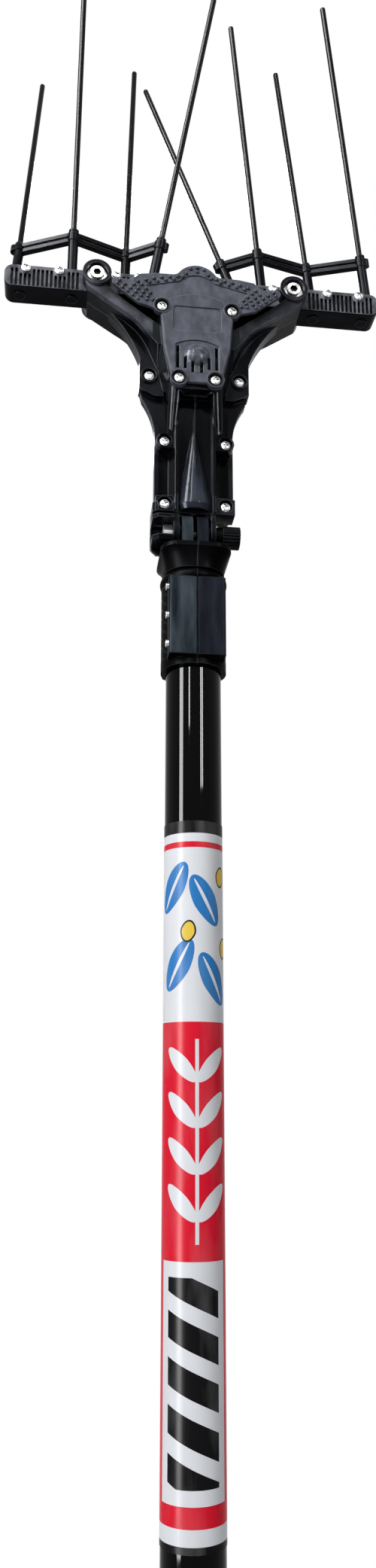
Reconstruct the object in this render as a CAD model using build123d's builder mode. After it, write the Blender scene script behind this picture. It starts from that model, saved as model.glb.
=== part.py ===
from build123d import *
import os
from math import acos, cos, pi, radians, sin, tan

os.makedirs("parts", exist_ok=True)

# Driving sizes in millimetres. Z runs up the pole, the front faces -Y, the origin is inside the grip.
hinge_z = 1363.0
pole_r = 20.0
pole_wall = 1.5
tube_bottom = -187.0
tube_top = hinge_z - 50

# Printed film sleeve round the pole
film_bottom = 701.0
film_top = 1137.5
film_thickness = 0.3

# Pole clamp, heights counted from the hinge axis
clamp_bottom = hinge_z - 111.5
collar_top = hinge_z - 103.5
block_bottom = hinge_z - 106
block_top = hinge_z - 46
flare_top = hinge_z - 22
clamp_top = hinge_z - 18.4
sleeve_r = 23.0
block_width = 41.0
block_depth = 54.0
seam_gap = 0.12
tongue_half = 9.8
tongue_r = 14.6
clamp_screw_y = 23.6
clamp_screw_r = 2.0
clamp_screw_heights = [hinge_z - 98, hinge_z - 76, hinge_z - 54]

# Tilt hinge
bolt_r = 4.0
running = 0.05
cheek_inner = 12.0
cheek_right_outer = 15.6
cheek_left_outer = 16.4
cheek_r = 14.0
pocket_r = 16.5
pocket_rim = 28.0
pocket_outer = 32.0
nut_half_height = 6.9
knob_length = 19.0
knob_collar = 6.0
knob_r = 8.6

# Head housing, heights counted from the hinge axis
flange_back_y = 5.0
neck_flange_y = -2.0
arm_flange_y = -7.0
neck_bottom = hinge_z + 14
tower_face_y = -21.9
arm_front_y = -20.0
arm_back_y = 17.0
pivot_x = 78.0
pivot_z = hinge_z + 212
boss_r = 11.2
boss_front_y = -22.0
boss_back_y = 22.0
cup_r = 8.4
cup_depth = 6.0
wall = 2.6

# Comb bars
bar_height = 20.0
bar_depth = 21.0
bar_outer = 72.0
bar_inner = 71.0
ear_gap = 0.4
bush_r = 6.5
comb_swing = 5.0

# Tines: place along the bar (outer end negative), lean to the back and lean to the middle, in degrees
left_tines = [(-64, 12.2, 2.7), (-19.5, -9.2, 0.5), (22.8, 7.7, 1.5), (44.5, -9.2, 10.3)]
right_tines = [(-64, -9.7, 8.7), (-19.5, 4.7, 4.5), (22.8, -2.7, 5.5), (44.5, 9.7, 16.3)]
tine_stagger = 3.5
tine_r = 2.25
tine_length = 258.0
socket_r = 4.0
socket_sunk = 9.5
brace_height = 32.0

# Drive
motor_z = hinge_z + 139
gear_module = 1.0
pinion_teeth = 16
gear_teeth = 42
crank_z = motor_z + gear_module * (pinion_teeth + gear_teeth) / 2
gear_front_y = -18.0
gear_back_y = -12.6
crank_throw = 6.0
roller_r = 3.5
slot_half = roller_r + 1.4
slot_length = 19.6
slot_x = 1.2
lever_layers = {"left": (-9.0, -5.5), "right": (-4.5, -1.0)}
motor_r = 21.0
motor_front_y = 2.6
motor_back_y = 43.0

# Lower end of the pole
grip_r = 23.0
grip_half = 125.0
housing_bottom = 150.0
housing_top = 246.0
rocker_z = 205.0
rocker_y = -37.0


def front(y):
    """Plane at depth y that faces the viewer: its x is X and its y is Z."""
    return Plane.XZ.offset(-y)


def save(part, name):
    """Label a finished piece and write its file."""
    part.label = name
    export_step(part, f"parts/{name}.step")


# Pole tube
with BuildPart() as pole_tube:
    with BuildSketch(Plane.XY.offset(tube_bottom)):
        Circle(pole_r)
        Circle(pole_r - pole_wall, mode=Mode.SUBTRACT)
    extrude(amount=tube_top - tube_bottom)
save(pole_tube.part, "pole_tube")

# Printed film sleeve shrunk onto the tube
with BuildPart() as label_sleeve:
    with BuildSketch(Plane.XY.offset(film_bottom)):
        Circle(pole_r + film_thickness)
        Circle(pole_r, mode=Mode.SUBTRACT)
    extrude(amount=film_top - film_bottom)
save(label_sleeve.part, "label_sleeve")

# Rubber grip with finger rings and a collar at each end
ring_count = 11
ring_pitch = 18.0
ring_depth = 1.2
with BuildPart() as hand_grip:
    with BuildSketch(Plane.XZ):
        with Locations((pole_r + (grip_r - pole_r) / 2, 0)):
            Rectangle(grip_r - pole_r, 2 * grip_half)
        for end in (-1, 1):
            with Locations((pole_r + 3, end * (grip_half - 4))):
                Rectangle(6, 8)
        for ring in range(ring_count):
            with Locations((grip_r, (ring - (ring_count - 1) / 2) * ring_pitch)):
                Rectangle(2 * ring_depth, 4, mode=Mode.SUBTRACT)
    revolve(axis=Axis.Z)
    fillet(hand_grip.edges().filter_by(GeomType.CIRCLE).group_by(SortBy.RADIUS)[-1], radius=1.2)
save(hand_grip.part, "hand_grip")

# Switch housing: a sleeve on the pole with a nose that holds the rocker
nose_front_y = -40.0
nose_width = 30.0
rocker_half_width = 7.0
rocker_half_height = 12.0
pocket_gap = 0.5
pin_r = 1.5
with BuildPart() as switch_housing:
    with BuildSketch(Plane.XY.offset(housing_bottom)):
        Circle(pole_r + 4)
        with Locations((0, nose_front_y / 2 - 5)):
            RectangleRounded(nose_width, -nose_front_y - 10, 4)
    extrude(amount=housing_top - housing_bottom)
    fillet(switch_housing.edges().group_by(Axis.Z)[-1], radius=3)
    fillet(switch_housing.edges().group_by(Axis.Z)[0], radius=3)
    with BuildSketch(Plane.XY.offset(housing_bottom)):
        Circle(pole_r)
    extrude(amount=housing_top - housing_bottom, mode=Mode.SUBTRACT)
    with BuildSketch(front(nose_front_y)):
        with Locations((0, rocker_z)):
            Rectangle(2 * (rocker_half_width + pocket_gap), 2 * (rocker_half_height + 2 * pocket_gap))
    extrude(amount=-14, mode=Mode.SUBTRACT)
    with BuildSketch(Plane.YZ.offset(-nose_width / 2)):
        with Locations((rocker_y, rocker_z)):
            Circle(pin_r)
    extrude(amount=nose_width, mode=Mode.SUBTRACT)
save(switch_housing.part, "switch_housing")

# Rocker, rounded about its pin so that it can tip, with two finger dips
with BuildPart() as switch_rocker:
    with BuildSketch(Plane.YZ.offset(-rocker_half_width)):
        with BuildLine():
            Polyline(
                (rocker_y + 5, rocker_z - 9),
                (rocker_y - 2, rocker_z - rocker_half_height),
                (rocker_y - 7, rocker_z - rocker_half_height),
            )
            ThreePointArc(
                (rocker_y - 7, rocker_z - rocker_half_height),
                (rocker_y - 4.5, rocker_z),
                (rocker_y - 7, rocker_z + rocker_half_height),
            )
            Polyline(
                (rocker_y - 7, rocker_z + rocker_half_height),
                (rocker_y - 2, rocker_z + rocker_half_height),
                (rocker_y + 5, rocker_z + 9),
            )
            Line((rocker_y + 5, rocker_z + 9), (rocker_y + 5, rocker_z - 9))
        make_face()
    extrude(amount=2 * rocker_half_width)
    with BuildSketch(Plane.YZ.offset(-rocker_half_width)):
        with Locations((rocker_y, rocker_z)):
            Circle(pin_r + running)
    extrude(amount=2 * rocker_half_width, mode=Mode.SUBTRACT)
save(switch_rocker.part, "switch_rocker")

# Pin through the housing nose that the rocker tips on
with BuildPart() as rocker_pin:
    with BuildSketch(Plane.YZ.offset(-nose_width / 2 + 0.5)):
        with Locations((rocker_y, rocker_z)):
            Circle(pin_r)
    extrude(amount=nose_width - 1)
save(rocker_pin.part, "rocker_pin")

# End cap plugged into the bottom of the tube, bored for the inlet
cap_r = 22.0
cap_thickness = 12.0
inlet_r = 9.0
inlet_bore_r = 6.5
inlet_length = 30.0
with BuildPart() as end_cap:
    with BuildSketch(Plane.XY.offset(tube_bottom - cap_thickness)):
        Circle(cap_r)
    extrude(amount=cap_thickness)
    fillet(end_cap.edges().group_by(Axis.Z)[0], radius=4)
    with BuildSketch(Plane.XY.offset(tube_bottom)):
        Circle(pole_r - pole_wall)
    extrude(amount=22)
    with BuildSketch(Plane.XY.offset(tube_bottom - cap_thickness)):
        Circle(inlet_r)
    extrude(amount=inlet_length + 10, mode=Mode.SUBTRACT)
save(end_cap.part, "end_cap")

# Power inlet: a round socket shell with two contact discs at its floor
inlet_bottom = tube_bottom - cap_thickness
inlet_floor = inlet_bottom + 18
with BuildPart() as power_inlet:
    with BuildSketch(Plane.XY.offset(inlet_bottom)):
        Circle(inlet_r)
    extrude(amount=inlet_length)
    with BuildSketch(Plane.XY.offset(inlet_bottom)):
        Circle(inlet_bore_r)
    extrude(amount=inlet_floor - inlet_bottom, mode=Mode.SUBTRACT)
    with BuildSketch(Plane.XY.offset(inlet_floor)):
        with Locations((-3, 0), (3, 0)):
            Circle(1.6)
    extrude(amount=inlet_length, mode=Mode.SUBTRACT)
save(power_inlet.part, "power_inlet")

with BuildPart() as inlet_contacts:
    with BuildSketch(Plane.XY.offset(inlet_floor)):
        with Locations((-3, 0), (3, 0)):
            Circle(1.6)
    extrude(amount=16)
save(inlet_contacts.part, "inlet_contacts")

# Pole clamp: two mirrored halves with ribbed sides, a screw block, a flared top and a tongue
rib_pitch = 7.5
rib_tilt = 35
bead_top = block_top + 9
for side, half_name in ((-1, "clamp_half_left"), (1, "clamp_half_right")):
    seam = Plane.YZ.offset(side * seam_gap / 2)
    with BuildPart() as clamp_half:
        with BuildSketch(Plane.YZ.offset(-26)):
            for rib in range(15):
                with Locations((0, clamp_bottom - 14 + rib * rib_pitch)):
                    Rectangle(58, 5.4, rotation=rib_tilt)
        extrude(amount=52)
        with BuildSketch(Plane.XY.offset(collar_top)):
            Circle(sleeve_r + 0.7)
        extrude(amount=block_top - collar_top, mode=Mode.INTERSECT)
        with BuildSketch(Plane.XY.offset(clamp_bottom)):
            Circle(sleeve_r)
        extrude(amount=clamp_top - clamp_bottom)
        with BuildSketch(Plane.XY.offset(clamp_bottom)):
            Circle(sleeve_r + 0.8)
        extrude(amount=collar_top - clamp_bottom)
        with BuildSketch(Plane.XY.offset(block_bottom)):
            RectangleRounded(block_width, block_depth, 2)
        extrude(amount=block_top - block_bottom)
        with BuildSketch(Plane.XZ):
            with BuildLine():
                Polyline((22.6, bead_top), (0, bead_top), (0, block_top), (22.6, block_top))
                ThreePointArc((22.6, block_top), (24.8, (block_top + bead_top) / 2), (22.6, bead_top))
            make_face()
        revolve(axis=Axis.Z)
        for height, width, corner in ((bead_top, 44, 19), (bead_top + 7, 45.5, 17), (flare_top, 52, 13)):
            with BuildSketch(Plane.XY.offset(height)):
                RectangleRounded(width, width * 1.12, corner)
        loft()
        with BuildSketch(Plane.XY.offset(flare_top)):
            RectangleRounded(52, 52 * 1.12, 13)
        extrude(amount=clamp_top - flare_top)
        fillet(clamp_half.edges().group_by(Axis.Z)[-1], radius=1.5)
        with BuildSketch(Plane.YZ.offset(-tongue_half)):
            with Locations((0, hinge_z)):
                Circle(tongue_r)
            with Locations((0, (hinge_z + clamp_top) / 2)):
                Rectangle(2 * tongue_r, hinge_z - clamp_top)
        extrude(amount=2 * tongue_half)
        with BuildSketch(Plane.XY.offset(clamp_bottom)):
            Circle(pole_r)
        extrude(amount=tube_top - clamp_bottom, mode=Mode.SUBTRACT)
        with BuildSketch(Plane.XY.offset(tube_top)):
            Circle(6)
        extrude(amount=hinge_z + tongue_r - tube_top, mode=Mode.SUBTRACT)
        with BuildSketch(Plane.YZ.offset(-tongue_half)):
            with Locations((0, hinge_z)):
                Circle(bolt_r + running)
        extrude(amount=2 * tongue_half, mode=Mode.SUBTRACT)
        with BuildSketch(Plane.YZ.offset(-block_width / 2)):
            for height in clamp_screw_heights:
                with Locations((-clamp_screw_y, height), (clamp_screw_y, height)):
                    Circle(clamp_screw_r)
        extrude(amount=block_width, mode=Mode.SUBTRACT)
        with BuildSketch(Plane.XY.offset(block_bottom)):
            with Locations((0, -block_depth / 2), (0, block_depth / 2)):
                Rectangle(1.5, 1.5, rotation=45)
        extrude(amount=block_top - block_bottom, mode=Mode.SUBTRACT)
        with BuildSketch(Plane.XY.offset(clamp_top + 1.5)):
            Rectangle(3.2, 2 * tongue_r + 1)
        extrude(amount=hinge_z + tongue_r - clamp_top, mode=Mode.SUBTRACT)
        split(bisect_by=seam, keep=Keep.TOP if side > 0 else Keep.BOTTOM)
    save(clamp_half.part, half_name)

# Clamp screws across both halves, heads on the left in front and on the right at the back
with BuildPart() as clamp_screws:
    for row_y, head_side in ((-clamp_screw_y, -1), (clamp_screw_y, 1)):
        row = [(row_y, height) for height in clamp_screw_heights]
        with BuildSketch(Plane.YZ.offset(head_side * block_width / 2)):
            with Locations(*row):
                Circle(clamp_screw_r)
        extrude(amount=-head_side * (block_width - 1))
        with BuildSketch(Plane.YZ.offset(head_side * block_width / 2)):
            with Locations(*row):
                Circle(2.7)
        extrude(amount=head_side * 1.8)
save(clamp_screws.part, "clamp_screws")

# Friction washers between the tongue and the cheeks
with BuildPart() as friction_washers:
    for start in (-cheek_inner + 0.3, tongue_half):
        with BuildSketch(Plane.YZ.offset(start)):
            with Locations((0, hinge_z)):
                Circle(9)
                Circle(bolt_r + 0.4, mode=Mode.SUBTRACT)
        extrude(amount=cheek_inner - tongue_half - 0.3)
save(friction_washers.part, "friction_washers")


def arm_points(side, front_end):
    """Outline of an arm: its straight stretch, the bend of its lower edge and its end in the tower."""
    rise = -1.4 if front_end else 0
    straight = [
        (side * 24.6, hinge_z + 166),
        (side * 36.7, hinge_z + 176 + rise),
        (side * 57, hinge_z + 191 + rise),
        (side * 72, hinge_z + 204.5 + rise),
        (side * (pivot_x + boss_r - 2), hinge_z + 206),
        (side * (pivot_x + 7), hinge_z + 200),
        (side * 62, hinge_z + 184.5 + rise),
    ]
    bend = [
        (side * 62, hinge_z + 184.5 + rise),
        (side * 46.3, hinge_z + 171.5),
        (side * 37, hinge_z + (160 if front_end else 156)),
    ]
    low = hinge_z + (152 if front_end else 131)
    end = [bend[-1], (side * (30 if front_end else 29), low), (side * 24.6, low), straight[0]]
    return straight, bend, end


def tower_outline(grow):
    """Tower of the housing seen from the front, widened all round by grow."""
    half = [
        (16 + grow, hinge_z + 113),
        (21 + grow, hinge_z + 122),
        (26 + grow, hinge_z + 147),
        (28.6 + grow, hinge_z + 180),
        (28.6 + grow, hinge_z + 188),
    ]
    Polygon(*half, *[(-x, z) for x, z in reversed(half)], align=None)


# Head housing as one body, cut into its two shells below
neck_pad_y = -13.0
screw_sunk = 4.0
flange_screws = [
    (35.5, hinge_z + 132, -9.0),
    (23.5, hinge_z + 72.5, neck_pad_y),
    (23.0, hinge_z + 19.5, neck_pad_y),
]
cover_screw_places = [(27.4, hinge_z + 182.5), (14.0, hinge_z + 119.5)]
with BuildPart() as head_body:
    # Parting flange: a narrow one down the neck, and one under the arms that dies out towards the bosses
    with BuildSketch(front(flange_back_y)):
        for side in (-1, 1):
            with BuildLine():
                Polyline((0, neck_bottom), (side * 30.4, neck_bottom), (side * 30.4, hinge_z + 74))
                ThreePointArc(
                    (side * 30.4, hinge_z + 74),
                    (side * 33, hinge_z + 98),
                    (side * 40.5, hinge_z + 114),
                )
                Polyline(
                    (side * 40.5, hinge_z + 114),
                    (side * 43, hinge_z + 124),
                    (side * 43, hinge_z + 150),
                    (side * 30, hinge_z + 188),
                    (0, hinge_z + 188),
                    (0, neck_bottom),
                )
            make_face()
    extrude(amount=flange_back_y - neck_flange_y)
    with BuildSketch(front(flange_back_y)):
        for side in (-1, 1):
            with BuildLine():
                Polyline(
                    (side * 43, hinge_z + 148),
                    (side * 43, hinge_z + 121),
                    (side * 31, hinge_z + 115),
                    (side * 24, hinge_z + 115),
                    (side * 24, hinge_z + 170),
                    (side * 60, hinge_z + 190),
                    (side * 76, hinge_z + 196),
                )
                ThreePointArc(
                    (side * 76, hinge_z + 196),
                    (side * 53.5, hinge_z + 170),
                    (side * 43, hinge_z + 148),
                )
            make_face()
    extrude(amount=flange_back_y - arm_flange_y)
    # Neck: a hat section to the front and a rounder one to the back
    with BuildSketch(Plane.XY.offset(neck_bottom)):
        with BuildLine():
            Polyline((-20, 0), (-15.5, -14), (15.5, -14), (20, 0))
            Spline((20, 0), (14, 14), (0, 17.5), (-14, 14), (-20, 0))
        make_face()
    extrude(amount=hinge_z + 124 - neck_bottom)
    # Tower walls, drawn in towards the cover
    with BuildSketch(front(-4)):
        tower_outline(5)
    with BuildSketch(front(tower_face_y)):
        tower_outline(0)
    loft(ruled=True)
    with BuildSketch(front(-9)):
        for x, z in cover_screw_places:
            with Locations((-x, z), (x, z)):
                Circle(5.6)
    extrude(amount=-9 - tower_face_y)
    # Tower at the back, with the round motor bulge
    with BuildSketch(front(arm_back_y)):
        tower_outline(3)
    extrude(amount=arm_back_y)
    with BuildSketch(front(motor_back_y + 4)):
        with Locations((0, motor_z)):
            Circle(motor_r + 3.6)
    extrude(amount=motor_back_y + 4)
    fillet(head_body.edges().filter_by(GeomType.CIRCLE).sort_by(Axis.Y)[-1], radius=5)
    # Arms, sloped underneath in front, and ring bosses
    for side in (-1, 1):
        for depth, front_end in ((0, False), (arm_front_y, True)):
            straight, bend, end = arm_points(side, front_end)
            with BuildSketch(front(depth)):
                with BuildLine():
                    Polyline(*straight)
                    ThreePointArc(*bend)
                    Polyline(*end)
                make_face()
        loft(ruled=True)
    with BuildSketch(front(arm_back_y)):
        for side in (-1, 1):
            straight, bend, end = arm_points(side, False)
            with BuildLine():
                Polyline(*straight)
                ThreePointArc(*bend)
                Polyline(*end)
            make_face()
    extrude(amount=arm_back_y)
    with BuildSketch(front(boss_back_y)):
        with Locations((-pivot_x, pivot_z), (pivot_x, pivot_z)):
            Circle(boss_r)
    extrude(amount=boss_back_y - boss_front_y)
    # Webs behind the fins that close the corners between the arms and the tower
    with BuildSketch(front(12)):
        for side in (-1, 1):
            Polygon(
                (side * 24.6, hinge_z + 150),
                (side * 24.6, hinge_z + 190),
                (side * 58, hinge_z + 190),
                (side * 46, hinge_z + 173),
                (side * 37, hinge_z + 157),
                align=None,
            )
    extrude(amount=10)
    with BuildSketch(front(14)):
        for side in (-1, 1):
            Polygon(
                (side * 24.6, hinge_z + 186),
                (side * 24.6, hinge_z + 209),
                (side * 60, hinge_z + 209),
                (side * 58, hinge_z + 186),
                align=None,
            )
    extrude(amount=14 - bar_depth / 2 - 0.7)
    # Columns that run from the lower cover screws down into the neck
    for side in (-1, 1):
        with BuildSketch(Plane.XY.offset(hinge_z + 78)):
            with Locations((side * 17.2, -8)):
                Circle(4.6)
        with BuildSketch(Plane.XY.offset(hinge_z + 121)):
            with Locations((side * 14.4, tower_face_y + 6.8)):
                Circle(6.8)
        loft()
    # Hinge cheeks and the round pocket on the left
    for start, end, radius in (
        (-pocket_rim, -cheek_left_outer, pocket_r),
        (-cheek_left_outer, -cheek_inner, cheek_r),
        (cheek_inner, cheek_right_outer, cheek_r),
    ):
        with BuildSketch(Plane.YZ.offset(start)):
            with Locations((0, hinge_z)):
                Circle(radius)
            with Locations((0, hinge_z + 10)):
                Rectangle(2 * radius - 4, 20)
        extrude(amount=end - start)
    for x, radius in ((-pocket_rim, pocket_r), (-pocket_outer, pocket_r - 3.5)):
        with BuildSketch(Plane.YZ.offset(x)):
            with Locations((0, hinge_z)):
                Circle(radius)
            with Locations((0, hinge_z + 10)):
                Rectangle(2 * radius - 4, 20)
    loft(ruled=True)
    # Screw bosses on the flange, the lowest pair with pads that reach the middle
    for x, z, pad_y in flange_screws:
        with BuildSketch(front(9)):
            with Locations((-x, z), (x, z)):
                Circle(6.4)
        extrude(amount=9 - pad_y)
    with BuildSketch(front(0)):
        for side in (-1, 1):
            Polygon(
                (side * 30, hinge_z + 12.5),
                (side * 30, hinge_z + 25),
                (side * 17.5, hinge_z + 26),
                (side * 12, hinge_z + 21),
                (side * 12, hinge_z + 12.5),
                align=None,
            )
            Polygon(
                (side * 23, hinge_z + 66),
                (side * 23, hinge_z + 78),
                (side * 14, hinge_z + 90),
                (side * 14, hinge_z + 66),
                align=None,
            )
    extrude(amount=-neck_pad_y)
    # Room for the comb bars between the ears, with a floor that follows their swing
    floor_drop = bar_height / 2 + 0.6
    swing_slope = tan(radians(comb_swing + 0.8))
    with BuildSketch(front(bar_depth / 2 + ear_gap)):
        for side in (-1, 1):
            with BuildLine():
                Polyline(
                    (side * (pivot_x - 50), pivot_z - floor_drop - 50 * swing_slope),
                    (side * pivot_x, pivot_z - floor_drop),
                    (side * (pivot_x + 40), pivot_z - floor_drop - 40 * swing_slope),
                    (side * (pivot_x + 40), pivot_z + 40),
                    (side * (pivot_x - 50), pivot_z + 40),
                    (side * (pivot_x - 50), pivot_z - floor_drop - 50 * swing_slope),
                )
            make_face()
    extrude(amount=bar_depth + 2 * ear_gap, mode=Mode.SUBTRACT)
    # Pivot bolt holes, bolt cups in front and nut cups behind
    with BuildSketch(front(boss_back_y)):
        with Locations((-pivot_x, pivot_z), (pivot_x, pivot_z)):
            Circle(bolt_r)
    extrude(amount=boss_back_y - boss_front_y, mode=Mode.SUBTRACT)
    with BuildSketch(front(boss_front_y + cup_depth)):
        with Locations((-pivot_x, pivot_z), (pivot_x, pivot_z)):
            Circle(cup_r)
    extrude(amount=cup_depth, mode=Mode.SUBTRACT)
    with BuildSketch(front(boss_back_y)):
        with Locations((-pivot_x, pivot_z), (pivot_x, pivot_z)):
            Circle(cup_r)
    extrude(amount=cup_depth, mode=Mode.SUBTRACT)
    # Tower cavity, open to the cover and at the top
    with BuildSketch(front(arm_back_y - wall)):
        with BuildLine():
            Polyline(
                (-15, hinge_z + 118),
                (-24.4, hinge_z + 150),
                (-24.4, hinge_z + 230),
                (24.4, hinge_z + 230),
                (24.4, hinge_z + 150),
                (15, hinge_z + 118),
                (-15, hinge_z + 118),
            )
        make_face()
    extrude(amount=arm_back_y - wall - tower_face_y, mode=Mode.SUBTRACT)
    with BuildSketch(front(motor_back_y)):
        with Locations((0, motor_z)):
            Circle(motor_r + 0.1)
    extrude(amount=motor_back_y, mode=Mode.SUBTRACT)
    # Seat for the motor plate
    with BuildSketch(front(motor_front_y)):
        with Locations((0, motor_z - 1)):
            RectangleRounded(54, 40, 4)
    extrude(amount=motor_front_y, mode=Mode.SUBTRACT)
    # Front channel of the neck, and room for the tongue to turn
    with BuildSketch(front(-9)):
        with Locations((0, hinge_z + 61)):
            Rectangle(26, 102)
    extrude(amount=14, mode=Mode.SUBTRACT)
    with BuildSketch(Plane.YZ.offset(-cheek_inner)):
        with Locations((0, hinge_z)):
            Circle(tongue_r + 1)
    extrude(amount=2 * cheek_inner, mode=Mode.SUBTRACT)
    # Rib and half cone inside the front channel
    with BuildSketch(front(-8.5)):
        with Locations((0, hinge_z + 79.5)):
            Rectangle(1.6, 65)
    extrude(amount=5)
    with BuildSketch(Plane.XY.offset(hinge_z + 20)):
        with Locations((0, -1.5)):
            Circle(15.6)
    with BuildSketch(Plane.XY.offset(hinge_z + 86)):
        with Locations((0, -8)):
            Circle(1.4)
    loft()
    with BuildSketch(Plane.XY.offset(neck_bottom + 2)):
        with Locations((0, -1.5)):
            Circle(13.6)
    with BuildSketch(Plane.XY.offset(hinge_z + 20)):
        with Locations((0, -1.5)):
            Circle(15.6)
    loft()
    # Wire duct down the neck
    with BuildSketch(Plane.XY.offset(hinge_z)):
        with Locations((0, 4)):
            RectangleRounded(18, 18, 4)
    extrude(amount=126, mode=Mode.SUBTRACT)
    # Nut pocket on the left, open to the front between two plates
    pocket_middle = -(pocket_outer + cheek_left_outer) / 2 - 1
    pocket_width = pocket_outer - cheek_left_outer + 2
    with BuildSketch(front(8)):
        with Locations((pocket_middle, hinge_z)):
            Rectangle(pocket_width, 2 * nut_half_height)
    extrude(amount=40, mode=Mode.SUBTRACT)
    with BuildSketch(front(2)):
        with Locations((pocket_middle, hinge_z + 11.2)):
            Rectangle(pocket_width, 2.4)
        with Locations((pocket_middle, hinge_z - 15)):
            Rectangle(pocket_width, 10)
    extrude(amount=30, mode=Mode.SUBTRACT)
    with BuildSketch(Plane.YZ.offset(-pocket_outer)):
        with Locations((0, hinge_z)):
            Circle(bolt_r)
    extrude(amount=pocket_outer + cheek_right_outer, mode=Mode.SUBTRACT)
    # Cover screw holes
    with BuildSketch(front(-10)):
        for x, z in cover_screw_places:
            with Locations((-x, z), (x, z)):
                Circle(2)
    extrude(amount=-10 - tower_face_y, mode=Mode.SUBTRACT)
    # Flange screw holes with counterbores
    for x, z, pad_y in flange_screws:
        with BuildSketch(front(9)):
            with Locations((-x, z), (x, z)):
                Circle(2.1)
        extrude(amount=9 - pad_y, mode=Mode.SUBTRACT)
        with BuildSketch(front(pad_y + screw_sunk)):
            with Locations((-x, z), (x, z)):
                Circle(5.3)
        extrude(amount=8, mode=Mode.SUBTRACT)

for shell_name, keep_side in (("head_shell_front", Keep.TOP), ("head_shell_rear", Keep.BOTTOM)):
    with BuildPart() as head_shell:
        add(head_body.part)
        split(bisect_by=Plane.XZ, keep=keep_side)
    save(head_shell.part, shell_name)

# Screws of the parting flange
with BuildPart() as shell_screws:
    for x, z, pad_y in flange_screws:
        with BuildSketch(front(8)):
            with Locations((-x, z), (x, z)):
                Circle(2)
        extrude(amount=8 - pad_y - screw_sunk)
        with BuildSketch(front(pad_y + screw_sunk)):
            with Locations((-x, z), (x, z)):
                Circle(3.5)
        extrude(amount=2.2)
save(shell_screws.part, "shell_screws")

# Tilt hinge bolt, its hex head trapped in the pocket on the left
hex_radius = 13 / 2 / cos(pi / 6)
with BuildPart() as hinge_bolt:
    with BuildSketch(Plane.YZ.offset(-cheek_left_outer - 6.5)):
        with Locations((0, hinge_z)):
            RegularPolygon(hex_radius, 6)
    extrude(amount=6.5)
    with BuildSketch(Plane.YZ.offset(-cheek_left_outer)):
        with Locations((0, hinge_z)):
            Circle(bolt_r)
    extrude(amount=cheek_left_outer + cheek_right_outer + 10.5)
save(hinge_bolt.part, "hinge_bolt")

# Knurled tilt knob on the right end of the bolt
knob_start = cheek_right_outer + 0.3
flute_count = 22
with BuildPart() as tilt_knob:
    with BuildSketch(Plane.YZ.offset(knob_start)):
        with Locations((0, hinge_z)):
            Circle(knob_r - 0.9)
    extrude(amount=knob_collar)
    with BuildSketch(Plane.YZ.offset(knob_start + knob_collar)):
        with Locations((0, hinge_z)):
            Circle(knob_r)
            with PolarLocations(knob_r + 0.2, flute_count):
                Circle(0.8, mode=Mode.SUBTRACT)
    extrude(amount=knob_length - knob_collar)
    with BuildSketch(Plane.YZ.offset(knob_start)):
        with Locations((0, hinge_z)):
            Circle(bolt_r + running)
    extrude(amount=knob_length - 2, mode=Mode.SUBTRACT)
save(tilt_knob.part, "tilt_knob")

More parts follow.
